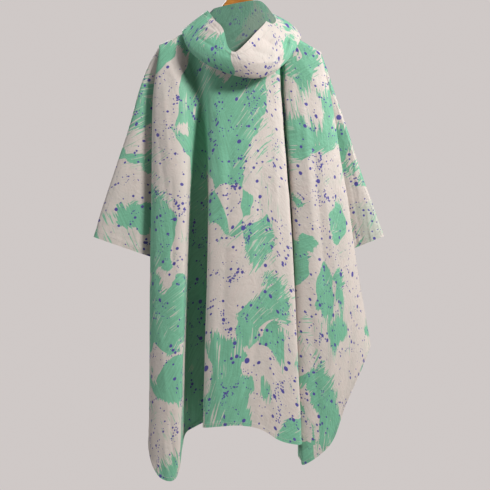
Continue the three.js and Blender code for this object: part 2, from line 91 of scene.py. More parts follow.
def make_mesh(name, points, faces, materials, face_material=None, uv=None, slot=None):
    """An object from its points and faces, on the part's one body, smooth but for its sharp edges.
    uv is a pair for each point."""
    mesh = bpy.data.meshes.new(name)
    mesh.from_pydata(points.tolist(), [], faces.tolist() if hasattr(faces, "tolist") else faces)
    for material in materials:
        mesh.materials.append(material)
    if face_material is not None:
        mesh.polygons.foreach_set("material_index", np.asarray(face_material, np.int32))
    if uv is not None:
        corner = np.empty(len(mesh.loops), np.int32)
        mesh.loops.foreach_get("vertex_index", corner)
        layer = mesh.uv_layers.new(name="cloth")
        layer.data.foreach_set("uv", np.asarray(uv, np.float32)[corner].ravel())
    mesh.shade_smooth()
    mesh.set_sharp_from_angle(angle=SHARP_EDGE)
    made = bpy.data.objects.new(name, mesh)
    bpy.context.scene.collection.objects.link(made)
    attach(made, "root")
    return made


def loft(rings):
    """Points and faces of a closed tube through rings of equal count, an array (ring, place, 3)."""
    count, around = rings.shape[:2]
    i, k = np.meshgrid(np.arange(count - 1), np.arange(around), indexing="ij")
    nxt = (k + 1) % around
    quads = np.stack(
        [i * around + k, i * around + nxt, (i + 1) * around + nxt, (i + 1) * around + k], -1
    )
    faces = quads.reshape(-1, 4).tolist()
    faces.append(list(range(around))[::-1])
    faces.append([(count - 1) * around + n for n in range(around)])
    return rings.reshape(-1, 3), faces


def add(tree, kind, inputs=None, **settings):
    """A shader node with its settings, its inputs given as values or as other nodes' sockets."""
    made = tree.nodes.new("ShaderNode" + kind)
    for key, value in settings.items():
        setattr(made, key, value)
    for socket, value in (inputs or {}).items():
        if isinstance(value, bpy.types.NodeSocket):
            tree.links.new(value, made.inputs[socket])
        else:
            made.inputs[socket].default_value = value
    return made


def maths(tree, operation, a, b=0.0):
    return add(tree, "Math", {0: a, 1: b}, operation=operation).outputs[0]


def ramp(tree, factor, low, high):
    """0 below low, 1 above high, straight between."""
    inputs = {"Value": factor, "From Min": low, "From Max": high}
    return add(tree, "MapRange", inputs, clamp=True).outputs[0]


def mix(tree, factor, a, b):
    made = add(tree, "Mix", data_type="RGBA")
    for socket, value in (("Factor_Float", factor), ("A_Color", a), ("B_Color", b)):
        target = next(s for s in made.inputs if s.identifier == socket)
        if isinstance(value, bpy.types.NodeSocket):
            tree.links.new(value, target)
        else:
            target.default_value = value
    return next(s for s in made.outputs if s.identifier == "Result_Color")


def new_material(name, **values):
    """A material with one Principled shader, and its tree and shader."""
    material = bpy.data.materials.new(name)
    material.use_nodes = True
    shader = material.node_tree.nodes["Principled BSDF"]
    for socket, value in values.items():
        shader.inputs[socket.replace("_", " ")].default_value = value
    return material, material.node_tree, shader


HANGER_TOP = np.array(
    [
        # out, z
        (0, -84), (20, -88), (33, -105), (50, -127), (77, -151), (100, -168), (150, -201), (206, -231),
    ]
) / 1000
HANGER_HIGH = np.array([(0, 60), (34, 46), (60, 36), (194, 24)]) / 1000
HANGER_REACH = 0.194
HANGER_TILT = 0.043
BAR_ROUND = 0.010


def wood_top(x):
    return through(HANGER_TOP[:, 0], HANGER_TOP[:, 1], np.abs(x)) - HANGER_TILT * x


def wood_high(x):
    return through(HANGER_HIGH[:, 0], HANGER_HIGH[:, 1], np.minimum(np.abs(x), HANGER_REACH))


def wood_half(x):
    return 0.008 + 0.005 * np.minimum(np.abs(x) / HANGER_REACH, 1)


def wood_material():
    """Orange-brown varnished beech: long grain along the bar, fine pores, and a clear coat."""
    material, tree, shader = new_material("hanger_wood", Roughness=0.42, Coat_Weight=0.5)
    shader.inputs["Coat Roughness"].default_value = 0.18
    place = add(tree, "TexCoord").outputs["Object"]
    long = add(tree, "Mapping", {"Vector": place, "Scale": (6, 60, 60)}).outputs[0]
    grain = add(tree, "TexNoise", {"Vector": long, "Scale": 3.0, "Detail": 6.0, "Distortion": 0.8})
    fine = add(tree, "Mapping", {"Vector": place, "Scale": (40, 700, 700)}).outputs[0]
    pores = add(tree, "TexNoise", {"Vector": fine, "Scale": 1.5, "Detail": 3.0})
    band = ramp(tree, grain.outputs["Fac"], 0.35, 0.68)
    colour = mix(tree, band, (0.36, 0.125, 0.016, 1), (0.56, 0.235, 0.04, 1))
    dark = maths(tree, "MULTIPLY", ramp(tree, pores.outputs["Fac"], 0.56, 0.7), 0.45)
    colour = mix(tree, dark, colour, (0.2, 0.07, 0.012, 1))
    tree.links.new(colour, shader.inputs["Base Color"])
    bump = add(tree, "Bump", {"Height": pores.outputs["Fac"], "Strength": 0.12, "Distance": 0.0004})
    tree.links.new(bump.outputs[0], shader.inputs["Normal"])
    return material


bar_x = np.linspace(-HANGER_REACH, HANGER_REACH, 121)[:, None]
near_end = np.clip(np.abs(bar_x) - HANGER_REACH + 0.014, 0, None) / 0.014
end_round = np.sqrt(1 - 0.75 * near_end**2)
bar_high = wood_high(bar_x) * end_round
bar_middle = wood_top(bar_x) - (wood_high(bar_x) - bar_high) / 4 - bar_high / 2
turn = np.linspace(0, 2 * np.pi, 40, endpoint=False)[None, :]
rise = np.sign(np.sin(turn)) * (bar_high / 2 - BAR_ROUND + BAR_ROUND * np.abs(np.sin(turn)))
rise = np.where(np.abs(np.sin(turn)) < 1e-6, 0, rise)
bar_points = np.stack(
    [
        np.broadcast_to(bar_x, rise.shape),
        wood_half(bar_x) * end_round * np.cos(turn),
        bar_middle + rise,
    ],
    -1,
)
bar = make_mesh("wooden_bar", *loft(bar_points), [wood_material()], slot="hanger_wood")
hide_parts("hanger_bar")

# Hook
# Plated steel wire, screwed into the bar's neck, bent to one side and round in an open circle.

WIRE_RADIUS = 0.002
HOOK_RADIUS = 0.020


def swept(path, radius, sides):
    """Rings of a round tube along a path in the XZ plane."""
    along = np.gradient(path, axis=0)
    along /= np.linalg.norm(along, axis=1)[:, None]
    side = np.stack([-along[:, 2], np.zeros(len(path)), along[:, 0]], -1)
    angle = np.linspace(0, 2 * np.pi, sides, endpoint=False)
    out = np.cos(angle)[None, :, None] * side[:, None, :]
    out = out + np.sin(angle)[None, :, None] * np.array([0, 1, 0])
    return path[:, None, :] + radius * out


def wire_material():
    """Nickel-plated wire, lightly drawn along its length, a little dulled."""
    material, tree, shader = new_material("hook_wire", Metallic=1.0)
    place = add(tree, "TexCoord").outputs["Object"]
    dull = add(tree, "TexNoise", {"Vector": place, "Scale": 220.0, "Detail": 4.0}).outputs["Fac"]
    rough = add(tree, "MapRange", {"Value": dull, "To Min": 0.2, "To Max": 0.42}).outputs[0]
    tree.links.new(rough, shader.inputs["Roughness"])
    tone = ramp(tree, dull, 0.3, 0.8)
    colour = mix(tree, tone, (0.62, 0.61, 0.58, 1), (0.45, 0.44, 0.42, 1))
    tree.links.new(colour, shader.inputs["Base Color"])
    return material


hook_middle = WIRE_RADIUS - HOOK_RADIUS
hook_turn = np.radians(np.linspace(-50, 205, 16))
hook_stops = [(0, float(wood_top(0)) - 0.020), (0, float(wood_top(0)) - 0.002)]
hook_stops += [(0, hook_middle - HOOK_RADIUS - 0.016), (0.003, hook_middle - HOOK_RADIUS - 0.006)]
hook_stops += [
    (HOOK_RADIUS * math.cos(a), hook_middle + HOOK_RADIUS * math.sin(a)) for a in hook_turn
]
hook_stops = np.array(hook_stops)
hook_length = np.r_[0, np.cumsum(np.linalg.norm(np.diff(hook_stops, axis=0), axis=1))]
hook_line = through(hook_length, hook_stops, np.linspace(0, hook_length[-1], 160))
hook_path = np.insert(hook_line, 1, 0.0, axis=1)
hook_rings = swept(hook_path, WIRE_RADIUS, 16)
tip = hook_rings[-1:].mean(1, keepdims=True)
hook_rings = np.concatenate([hook_rings, tip + 0.45 * (hook_rings[-1:] - tip)])
hook_rings[-1] += 0.0008 * (hook_path[-1] - hook_path[-2]) / np.linalg.norm(hook_path[-1] - hook_path[-2])
hook = make_mesh("wire_hook", *loft(hook_rings), [wire_material()], slot="hook_wire")
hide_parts("hanger_hook")

# Back panel
# Thin coated nylon, printed on its outer face, cut wide and hanging from the bar in deep folds. The
# hem is turned up and stitched. The tables give the fold lines that run from shoulder to hem.

LEVELS = np.array([0, 0.14, 0.5, 1])
SEAM_GAP = 0.0003
WALL = 0.0014
CLOTH = 0.0007
REST = 0.0014 + WALL / 2
SHOULDER_REACH = 0.202
UNDERARM = {-1: -0.742, 1: -0.718}
DRAWN_IN = {-1: 0.08, 1: 0.2}
DRAWN_FROM = 0.014
SEAM_BEHIND = 0.005
SEAM_RELEASE = 0.06

# The neckline, round from the throat by the left shoulder, the back and the right shoulder, with
# the fallen hood's fold and face edge beside each place: neck x y z, rim x y z, edge x y z, puff.
HOOD = np.array(
    [
        (-4, 30, -214, -9, 46, -219, -4, 39, -196, 2),
        (-42, 27, -190, -74, 54, -228, -46, 42, -172, 6),
        (-65, 16.5, -162, -122, 42, -216, -78, 27, -143, 5),
        (-74.5, 10, -146, -137, 24, -194, -80, 11, -136, 2.5),
        (-77, -1, -142.5, -144, -6, -184, -80, -8, -135, 2),
        (-62, -12, -137.5, -134, -40, -224, -62, -34, -163, 5),
        (-45, -13, -133.5, -109, -58, -258, -41, -62, -194, 12),
        (-22, -13, -129, -66, -74, -289, -29, -84, -241, 13),
        (4, -13, -124, 0, -80, -313, -12, -90, -257, 12),
        (28, -13, -120, 52, -78, -314, 11, -86, -237, 14),
        (48, -13, -121, 98, -66, -288, 38, -64, -203, 14),
        (63, -12, -133, 132, -44, -244, 61, -36, -172, 11),
        (72, -1, -145, 151, -8, -200, 74, -9, -140, 9),
        (69.5, 10, -149, 143, 24, -207, 76, 10, -139, 8),
        (60, 16.5, -165, 122, 42, -222, 74, 27, -145, 8),
        (39, 27, -191, 70, 54, -228, 43, 42, -173, 6),
        (4, 30, -214, 9, 46, -219, 4, 39, -196, 2),
    ]
) / 1000
LEFT_NECK, BACK_NECK, RIGHT_NECK = 4, 8, 12

# Fold lines from left to right: x at the four levels, how far each stands out from the hanger at
# the last three, and the hem's height.
BACK = np.array(
    [
        (-202, -190, -187, -185, -9, -12, -12, -1122),
        (-201, -200, -202, -206, -1, -5, -4, -1150),
        (-199, -215, -221, -225, 1, 4, 6, -1196),
        (-196, -211, -217, -223, 12, 16, 18, -1228),
        (-190, -197, -206, -215, 19, 26, 27, -1254),
        (-176, -176, -184, -198, 23, 34, 36, -1281),
        (-162, -155, -163, -176, 24, 38, 40, -1291),
        (-150, -140, -145, -158, 20, 36, 38, -1287),
        (-144, -130, -134, -147, 14, 26, 29, -1264),
        (-139, -122, -131, -143, 8, 2, 6, -1220),
        (-132, -114, -126, -138, 3, -32, -30, -1192),
        (-122, -105, -105, -112, 1, -42, -40, -1176),
        (-111, -96, -84, -90, 3, -34, -32, -1164),
        (-104, -88, -77, -84, 7, -4, -4, -1160),
        (-98, -81, -79, -90, 13, 22, 24, -1163),
        (-91, -73, -72, -83, 18, 35, 37, -1162),
        (-72, -54, -44, -50, 21, 42, 44, -1158),
        (-30, -18, -4, 0, 23, 46, 47, -1155),
        (25, 30, 45, 50, 22, 44, 46, -1165),
        (66, 66, 88, 98, 20, 40, 43, -1193),
        (90, 92, 119, 142, 16, 35, 38, -1204),
        (96, 99, 127, 151, 8, 24, 28, -1203),
        (100, 98, 124, 145, -4, 4, 8, -1226),
        (106, 104.5, 128, 147, -15, -28, -16, -1243),
        (110, 109.5, 132, 151, 1, 6, 12, -1248),
        (116, 114, 136, 157, 10, 20, 24, -1256),
        (136, 142, 169, 198, 14, 28, 30, -1228),
        (154, 168, 198, 230, 15, 28, 29, -1190),
        (170, 190, 225, 258, 14, 25, 25, -1112),
        (190, 213, 252, 300, 9, 16, 14, -1020),
        (197, 222, 264, 321, 1, 5, -2, -970),
        (200, 206, 248, 321, -1, -6, -11, -966),
        (202, 193, 236, 320, -9, -12, -12, -965),
    ]
) / 1000


def ridge(x):
    return wood_top(x) + REST


def over_bar(x, z):
    """Distance from the middle plane of cloth over the bar's rounded top, at a height."""
    down = np.clip((ridge(x) - z) / (BAR_ROUND + REST), 0, 1)
    return (wood_half(x) + REST) * np.sqrt(1 - (1 - down) ** 2)


def bar_crest(x, y):
    """The lowest height at which cloth passes over the bar, at a distance from its middle."""
    aside = np.minimum(np.abs(y) / (wood_half(x) + REST), 1)
    crest = ridge(x) - (BAR_ROUND + REST) * (1 - np.sqrt(1 - aside**2))
    return np.where(aside < 1, crest, -9.0)


def neck_at(x, is_back):
    """Distance from the middle plane, and height, of the neckline at a place across."""
    rows = np.arange(LEFT_NECK, RIGHT_NECK + 1)
    if not is_back:
        rows = np.r_[np.arange(LEFT_NECK, -1, -1), np.arange(len(HOOD) - 1, RIGHT_NECK - 1, -1)]
    y, z = np.moveaxis(through(HOOD[rows, 0], HOOD[rows, 1:3], x), -1, 0)
    return np.abs(y), np.maximum(z - 2 * SEAM_GAP, bar_crest(x, y))


def seam_depth(z, top, side):
    """Depth of the armhole and side seams: over the bar's end, drawn in below it to 5 mm behind the
    fold, and closed below the underarm. side is -1 or 1, or an array of them."""
    under = np.where(np.asarray(side) < 0, UNDERARM[-1], UNDERARM[1])
    drawn_in = np.where(np.asarray(side) < 0, DRAWN_IN[-1], DRAWN_IN[1])
    fall = top - z
    near_bar = over_bar(SHOULDER_REACH, ridge(SHOULDER_REACH) - fall)
    share = np.clip((fall - DRAWN_FROM) / drawn_in, 0, 1)
    hidden = near_bar + (SEAM_BEHIND - near_bar) * share
    low = (WALL + SEAM_GAP) / 2
    return low + (hidden - low) * smooth(under, under + SEAM_RELEASE, z)


def panel_points(table, is_back, u, v):
    """Points (v, u, 3) of a panel: u counts along the table's lines and v down the fall. Each line
    stands out from the bar's profile by its own depth, and the edge lines run in to the seams."""
    lines = np.arange(len(table))
    row = through(lines, table, u)
    x0 = row[:, 0]
    x = through(LEVELS, row[:, :4].T, v)
    out = through(LEVELS, np.vstack([np.zeros(len(u)), row[:, 4:7].T]), v)
    in_neck = (x0 > HOOD[LEFT_NECK, 0]) & (x0 < HOOD[RIGHT_NECK, 0])
    neck_y, neck_z = neck_at(np.clip(x0, HOOD[LEFT_NECK, 0], HOOD[RIGHT_NECK, 0]), is_back)
    neck_y, top = np.where(in_neck, neck_y, 0), np.where(in_neck, neck_z, ridge(x0))
    z = top + (row[:, 7] - top) * v[:, None]
    below = smooth(-0.004, 0.05, wood_top(x0) - wood_high(x0) - z)
    base = np.maximum(over_bar(x0, z), neck_y * (1 - smooth(0, 0.3, v))[:, None])
    depth = base + np.maximum(out, 0) + np.minimum(out, 0) * below
    to_seam = np.minimum(u, len(table) - 1 - u)
    at_seam = seam_depth(z, top, np.where(u < 1, -1, 1))
    depth = np.where(to_seam < 1, at_seam + (depth - at_seam) * np.minimum(to_seam, 1), depth)
    depth = np.where((v[:, None] == 0) & ~in_neck, (WALL + SEAM_GAP) / 2, depth)
    return np.stack([x, -depth if is_back else depth, z], -1)


def normals_of(grid):
    """Unit normals of a grid of points, across the second axis and down the first."""
    down, along = np.gradient(grid, axis=0), np.gradient(grid, axis=1)
    normal = np.cross(along, down)
    return normal / np.maximum(np.linalg.norm(normal, axis=-1, keepdims=True), 1e-12)


def cloth_uv(grid, middle):
    """Flat cloth coordinates in metres: lengths along each row from the middle column, and
    lengths down each column."""
    across = np.linalg.norm(np.diff(grid, axis=1), axis=-1)
    across = np.concatenate([np.zeros((len(grid), 1)), np.cumsum(across, 1)], 1)
    across -= across[:, middle : middle + 1]
    down = np.linalg.norm(np.diff(grid, axis=0), axis=-1)
    down = np.concatenate([np.zeros((1, grid.shape[1])), np.cumsum(down, 0)])
    return across, down


def soft_noise(a, b, size, seed):
    """Random heights from -1 to 1 at the corners of a lattice of that size, joined smoothly."""
    table = np.random.default_rng(seed).uniform(-1, 1, (64, 64))
    a, b = a / size[0] + 11, b / size[1] + 11
    i, j = np.floor(a).astype(int), np.floor(b).astype(int)
    s, t = smooth(0, 1, a - i), smooth(0, 1, b - j)
    near = table[i % 64, j % 64] * (1 - s) + table[(i + 1) % 64, j % 64] * s
    far = table[i % 64, (j + 1) % 64] * (1 - s) + table[(i + 1) % 64, (j + 1) % 64] * s
    return near * (1 - t) + far * t


def crinkles(a, b, seed):
    """Fine sharp-ridged creases of crumpled nylon, about half a millimetre high."""
    lean = a + 0.35 * b
    wander = 0.02 * soft_noise(a, b, (0.09, 0.12), seed + 1)
    ridged = 1 - 2 * np.abs(soft_noise(lean + wander, b - wander, (0.035, 0.075), seed))
    other = 1 - 2 * np.abs(soft_noise(a - 0.5 * b + wander, b, (0.05, 0.045), seed + 2))
    fine = soft_noise(a, b, (0.014, 0.02), seed + 3)
    where = 0.35 + 0.65 * smooth(-0.4, 0.5, soft_noise(a, b, (0.16, 0.2), seed + 4))
    return where * (0.00042 * ridged + 0.00034 * other + 0.00012 * fine)


def creases(x, z, rows):
    """Troughs and ridges given in rows: each row is a line's two ends in x and z, its width and its
    height, and the height fades to the line's ends."""
    total = np.zeros_like(x)
    for x0, z0, x1, z1, width, height in np.asarray(rows) / 1000:
        run = np.array([x1 - x0, z1 - z0])
        length = np.hypot(*run)
        run = run / length
        along = ((x - x0) * run[0] + (z - z0) * run[1]) / length
        aside = (x - x0) * run[1] - (z - z0) * run[0]
        fade = smooth(-0.08, 0.25, along) * smooth(1.08, 0.75, along)
        total += height * np.exp(0.3 - np.sqrt((1.5 * aside / width) ** 2 + 0.09)) * fade
    return total


def shell(name, grid, normal, uv, replaced):
    """A cloth piece as a closed thin shell: the grid moved half its thickness to each side, the
    outer face in the print and the inner in its faded side darkened with painted shade, joined
    round its edge."""
    rows, columns = grid.shape[:2]
    count = rows * columns
    points = np.concatenate([(grid + side * CLOTH / 2 * normal).reshape(-1, 3) for side in (1, -1)])
    i, j = np.meshgrid(np.arange(rows - 1), np.arange(columns - 1), indexing="ij")
    a = (i * columns + j).ravel()
    outer = np.stack([a, a + 1, a + columns + 1, a + columns], -1)
    inner = outer[:, ::-1] + count
    ring = np.concatenate(
        [
            np.arange(columns - 1, 0, -1),
            np.arange(0, (rows - 1) * columns, columns),
            (rows - 1) * columns + np.arange(columns - 1),
            columns - 1 + np.arange(rows - 1, 0, -1) * columns,
        ]
    )
    nxt = np.roll(ring, -1)
    rim = np.stack([ring, nxt, nxt + count, ring + count], -1)
    faces = np.concatenate([outer, inner, rim])
    which = np.r_[np.zeros(len(outer), int), np.ones(len(inner), int), np.zeros(len(rim), int)]
    pair = np.stack([c.ravel() for c in uv], -1)
    made = make_mesh(
        name, points, faces, CLOTH_LOOK, which, np.concatenate([pair, pair]), "poncho_cloth"
    )
    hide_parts(replaced)
    return made


def print_material(name, inside):
    """Coated nylon in a paint-splash print: angular mint and cream patches with dry-brush edges,
    violet drops of several sizes and fine spatter. The inner face shows it faded through, and its
    colours are also darkened as painted shade."""
    material, tree, shader = new_material(name, Roughness=0.58, Sheen_Weight=0.12)
    shader.inputs["Specular IOR Level"].default_value = 0.35
    cloth = add(tree, "UVMap", uv_map="cloth").outputs[0]

    def noise(at, scale, detail=2.0, seed=0.0):
        inputs = {"Vector": at, "Scale": scale, "Detail": detail, "W": seed}
        return add(tree, "TexNoise", inputs, noise_dimensions="4D")

    def shifted(at, by, length):
        moved = add(tree, "VectorMath", {0: by, "Scale": length}, operation="SCALE").outputs[0]
        return add(tree, "VectorMath", {0: at, 1: moved}, operation="ADD").outputs[0]

    def wander(scale, detail, seed):
        colour = noise(cloth, scale, detail, seed).outputs["Color"]
        return add(tree, "VectorMath", {0: colour, 1: (0.5, 0.5, 0.5)}, operation="SUBTRACT").outputs[0]

    # Each brush stroke keeps one direction over about 15 cm of cloth.
    bent = shifted(cloth, wander(7.0, 2.0, 1.0), 0.07)
    stroke = add(tree, "TexVoronoi", {"Vector": bent, "Scale": 6.5}).outputs["Color"]
    angle = maths(tree, "MULTIPLY", add(tree, "SeparateColor", {"Color": stroke}).outputs[0], 1.9)
    angle = maths(tree, "ADD", angle, 0.15)
    turned = add(tree, "VectorRotate", {"Vector": cloth, "Angle": angle}, rotation_type="Z_AXIS")
    bristles = add(tree, "Mapping", {"Vector": turned.outputs[0], "Scale": (15, 230, 1)}).outputs[0]
    hairs = noise(bristles, 1.0, 3.0, 2.0).outputs["Fac"]
    back_y = maths(tree, "MULTIPLY", maths(tree, "SINE", angle), -1.0)
    heading = add(tree, "CombineXYZ", {"X": maths(tree, "COSINE", angle), "Y": back_y}).outputs[0]
    rough = ramp(tree, noise(cloth, 5.0, 1.0, 3.0).outputs["Fac"], 0.4, 0.6)
    reach = maths(tree, "MULTIPLY", maths(tree, "SUBTRACT", hairs, 0.5), 0.18)
    torn = shifted(bent, heading, maths(tree, "MULTIPLY", reach, rough))

    # Big angular patches, with smaller ones of the other colour over them.
    slanted = add(tree, "Mapping", {"Vector": torn, "Rotation": (0, 0, 0.35), "Scale": (1.0, 0.62, 1.0)})
    patch = add(
        tree, "TexVoronoi", {"Vector": slanted.outputs[0], "Scale": 5.2}, distance="MANHATTAN"
    ).outputs["Color"]
    mint_here = ramp(tree, add(tree, "SeparateColor", {"Color": patch}).outputs[1], 0.485, 0.487)
    small = add(tree, "TexVoronoi", {"Vector": torn, "Scale": 13.0}, distance="MANHATTAN")
    tone = add(tree, "SeparateColor", {"Color": small.outputs["Color"]})
    other = ramp(tree, tone.outputs[2], 0.855, 0.857)
    flipped = maths(tree, "ABSOLUTE", maths(tree, "SUBTRACT", mint_here, other))

    # Two long mint strokes run down the back, where the cloth folds in deepest. Each has its place
    # across at the top and low down, and its half width there.
    spot = add(tree, "SeparateXYZ", {"Vector": torn})
    down = ramp(tree, spot.outputs[1], 0.0, 0.65)
    for at_top, at_low, narrow, wide in (
        (-0.100, -0.185, 0.016, 0.052),
        (0.158, 0.206, 0.010, 0.032),
    ):
        middle = add(tree, "MapRange", {"Value": down, "To Min": at_top, "To Max": at_low}).outputs[0]
        reach = add(tree, "MapRange", {"Value": down, "To Min": narrow, "To Max": wide}).outputs[0]
        away = maths(tree, "ABSOLUTE", maths(tree, "SUBTRACT", spot.outputs[0], middle))
        flipped = maths(tree, "MAXIMUM", flipped, maths(tree, "LESS_THAN", away, reach))

    # Dry brushing shows the other colour in bristle lines, only here and there.
    dry = ramp(tree, noise(cloth, 8.0, 2.0, 4.0).outputs["Fac"], 0.52, 0.6)
    lines = maths(tree, "MULTIPLY", ramp(tree, hairs, 0.575, 0.6), dry)
    flipped = maths(tree, "ABSOLUTE", maths(tree, "SUBTRACT", flipped, lines))

    # Painted shade: the inner face's colours are the faded print made much darker, as that face looks in
    # shade.
    if inside:
        mint, cream, violet = (0.085, 0.205, 0.140, 1), (0.150, 0.225, 0.172, 1), (0.060, 0.070, 0.150, 1)
    else:
        mint, cream, violet = (0.176, 0.448, 0.296, 1), (0.655, 0.592, 0.545, 1), (0.084, 0.072, 0.315, 1)
    washed = ramp(tree, noise(cloth, 24.0, 5.0, 5.0).outputs["Fac"], 0.3, 0.72)
    brushed = ramp(tree, hairs, 0.36, 0.62)
    deep = tuple(c * 0.84 for c in mint[:3]) + (1,)
    light = tuple(c * 1.12 for c in mint[:3]) + (1,)
    stone = (cream[0] * 0.88, cream[1] * 0.9, cream[2] * 0.9, 1)
    pink = (cream[0] * 1.0, cream[1] * 0.95, cream[2] * 0.95, 1)
    mints = mix(tree, brushed, mix(tree, washed, mint, deep), light)
    creams = mix(tree, washed, mix(tree, brushed, cream, pink), stone)
    colour = mix(tree, flipped, creams, mints)

    # Drops: in each size's cells some hold a round drop, and small ones run together in chains
    # along winding lines, or crowd together in splashes. Rows: cells a metre, share that hold one,
    # smallest and largest radius in cells, and where on the cloth.
    wet = shifted(cloth, wander(60.0, 2.0, 6.0), 0.004)

    def patchy(scale, seed, low, high):
        return ramp(tree, noise(cloth, scale, 1.0, seed).outputs["Fac"], low, high)

    def winding(scale, seed, wide, broken):
        away = maths(tree, "SUBTRACT", noise(wet, scale, 1.0, seed).outputs["Fac"], 0.5)
        line = ramp(tree, maths(tree, "ABSOLUTE", away), wide, wide * 0.5)
        return maths(tree, "MULTIPLY", line, broken)

    drops = None
    for scale, share, smallest, largest, where in (
        (17.0, 0.72, 0.085, 0.135, None),
        (27.0, 0.55, 0.10, 0.18, None),
        (44.0, 0.48, 0.11, 0.24, None),
        (64.0, 0.66, 0.16, 0.32, patchy(15.0, 13.0, 0.44, 0.52)),
        (125.0, 0.96, 0.24, 0.50, winding(4.6, 8.0, 0.012, patchy(11.0, 9.0, 0.46, 0.49))),
        (150.0, 0.96, 0.24, 0.46, winding(6.5, 10.0, 0.014, patchy(14.0, 11.0, 0.47, 0.50))),
        (175.0, 0.96, 0.22, 0.46, winding(9.0, 16.0, 0.015, patchy(17.0, 17.0, 0.53, 0.55))),
        (150.0, 0.50, 0.16, 0.36, patchy(12.0, 12.0, 0.49, 0.60)),
    ):
        cell = add(tree, "TexVoronoi", {"Vector": wet, "Scale": scale, "Randomness": 0.9})
        pick = add(tree, "SeparateColor", {"Color": cell.outputs["Color"]})
        inputs = {"Value": pick.outputs[1], "To Min": smallest, "To Max": largest}
        radius = add(tree, "MapRange", inputs).outputs[0]
        radius = maths(tree, "MULTIPLY", radius, ramp(tree, pick.outputs[0], share, share - 0.001))
        if where is not None:
            radius = maths(tree, "MULTIPLY", radius, where)
        drop = ramp(tree, maths(tree, "SUBTRACT", radius, cell.outputs["Distance"]), 0.0, 0.015)
        drops = drop if drops is None else maths(tree, "MAXIMUM", drops, drop)
    colour = mix(tree, drops, colour, violet)
    tree.links.new(colour, shader.inputs["Base Color"])

    # Fine plain weave, seen close up, over soft crinkles.
    warp = add(tree, "TexWave", {"Vector": cloth, "Scale": 420.0}, bands_direction="X").outputs["Fac"]
    weft = add(tree, "TexWave", {"Vector": cloth, "Scale": 420.0}, bands_direction="Y").outputs["Fac"]
    rumpled = maths(tree, "SUBTRACT", noise(bent, 60.0, 4.0, 14.0).outputs["Fac"], 0.5)
    sharp = maths(tree, "ABSOLUTE", rumpled)
    coarse = add(tree, "Bump", {"Height": sharp, "Strength": 0.35, "Distance": 0.006}).outputs[0]
    threads = {"Height": maths(tree, "MULTIPLY", warp, weft), "Strength": 0.18, "Distance": 0.00012}
    fine = add(tree, "Bump", {**threads, "Normal": coarse})
    tree.links.new(fine.outputs[0], shader.inputs["Normal"])
    shine = add(tree, "MapRange", {"Value": washed, "To Min": 0.5, "To Max": 0.66}).outputs[0]
    tree.links.new(shine, shader.inputs["Roughness"])
    return material


def thread_material():
    """Twisted polyester sewing thread in a pale stone colour."""
    material, tree, shader = new_material("thread", Roughness=0.6, Sheen_Weight=0.2)
    place = add(tree, "TexCoord").outputs["Object"]
    twist = add(tree, "TexNoise", {"Vector": place, "Scale": 900.0, "Detail": 2.0}).outputs["Fac"]
    colour = mix(tree, ramp(tree, twist, 0.35, 0.65), (0.34, 0.36, 0.33, 1), (0.55, 0.54, 0.49, 1))
    tree.links.new(colour, shader.inputs["Base Color"])
    return material


def stitches(name, paths, thread, pitch=0.0045, long=0.0031, half=0.00032):
    """Lockstitches along paths, each a pair of arrays of points and outward normals. Each stitch
    is a small pointed bar with four sides, in one mesh."""
    points, faces = [], []
    for path, normal in paths:
        length = np.r_[0, np.cumsum(np.linalg.norm(np.diff(path, axis=0), axis=1))]
        starts = np.arange(pitch / 2, length[-1] - long, pitch)
        both = np.concatenate([path, normal], 1)
        head, middle, foot = (
            np.stack([np.interp(starts + on, length, both[:, k]) for k in range(6)], -1)
            for on in (0, long / 2, long)
        )
        along = foot[:, :3] - head[:, :3]
        along /= np.linalg.norm(along, axis=1)[:, None]
        up = middle[:, 3:] / np.linalg.norm(middle[:, 3:], axis=1)[:, None]
        side = np.cross(along, up)
        ring = []
        for end in (head, foot):
            for a, b in ((1, 0), (0, 1), (-1, 0), (0, -0.6)):
                ring.append(end[:, :3] + half * (a * side + b * up) + 0.1 * half * up)
        body = np.stack(ring, 1)
        tips = np.stack([head[:, :3] - 1.4 * half * along, foot[:, :3] + 1.4 * half * along], 1)
        block = np.concatenate([body, tips], 1)
        base = sum(len(p) for p in points) + 10 * np.arange(len(block))[:, None]
        points.append(block.reshape(-1, 3))
        for k in range(4):
            n = (k + 1) % 4
            faces.append(base + np.array([k, n, n + 4, k + 4]))
            faces.append(base + np.array([8, n, k, k]))
            faces.append(base + np.array([9, k + 4, n + 4, n + 4]))
    quads = np.concatenate(faces)
    faces = [q[:3].tolist() if q[2] == q[3] else q.tolist() for q in quads]
    return make_mesh(name, np.concatenate(points), faces, [thread], slot="poncho_cloth")


# The second material is the inner face: the faded print darkened with painted shade.
CLOTH_LOOK = [print_material("printed_nylon", False), print_material("nylon_inside_painted_shade", True)]
THREAD = thread_material()
HEM = 0.011
STITCHED_IN = 0.0015
ON_CLOTH = CLOTH / 2 + 0.0001
LINE_PLACES = 8


def fall_rows(count, fall, hem=HEM):
    """Shares of the fall at which rows of cloth lie: closer over the bar and at the hem's step."""
    near_top = np.array([0.0008, 0.002, 0.0037, 0.006, 0.0085, 0.012, 0.016])
    near_hem = 1 - np.array([0.0004, 0.25 * hem, 0.6 * hem, hem, hem + 0.0009, hem + 0.004]) / fall
    return np.unique(np.concatenate([np.linspace(0, 1, count), near_top, near_hem]))


def hem_lift(to_hem, across, seed, hem=HEM):
    """The turned hem's double layer, and the small puckers that its stitching draws up."""
    layer = 0.0005 * smooth(hem + 0.0006, hem - 0.0002, to_hem)
    pucker = soft_noise(across, 0 * across, (0.011, 1.0), seed)
    return layer + 0.0007 * pucker * np.exp(-((to_hem - hem) / 0.012) ** 2)


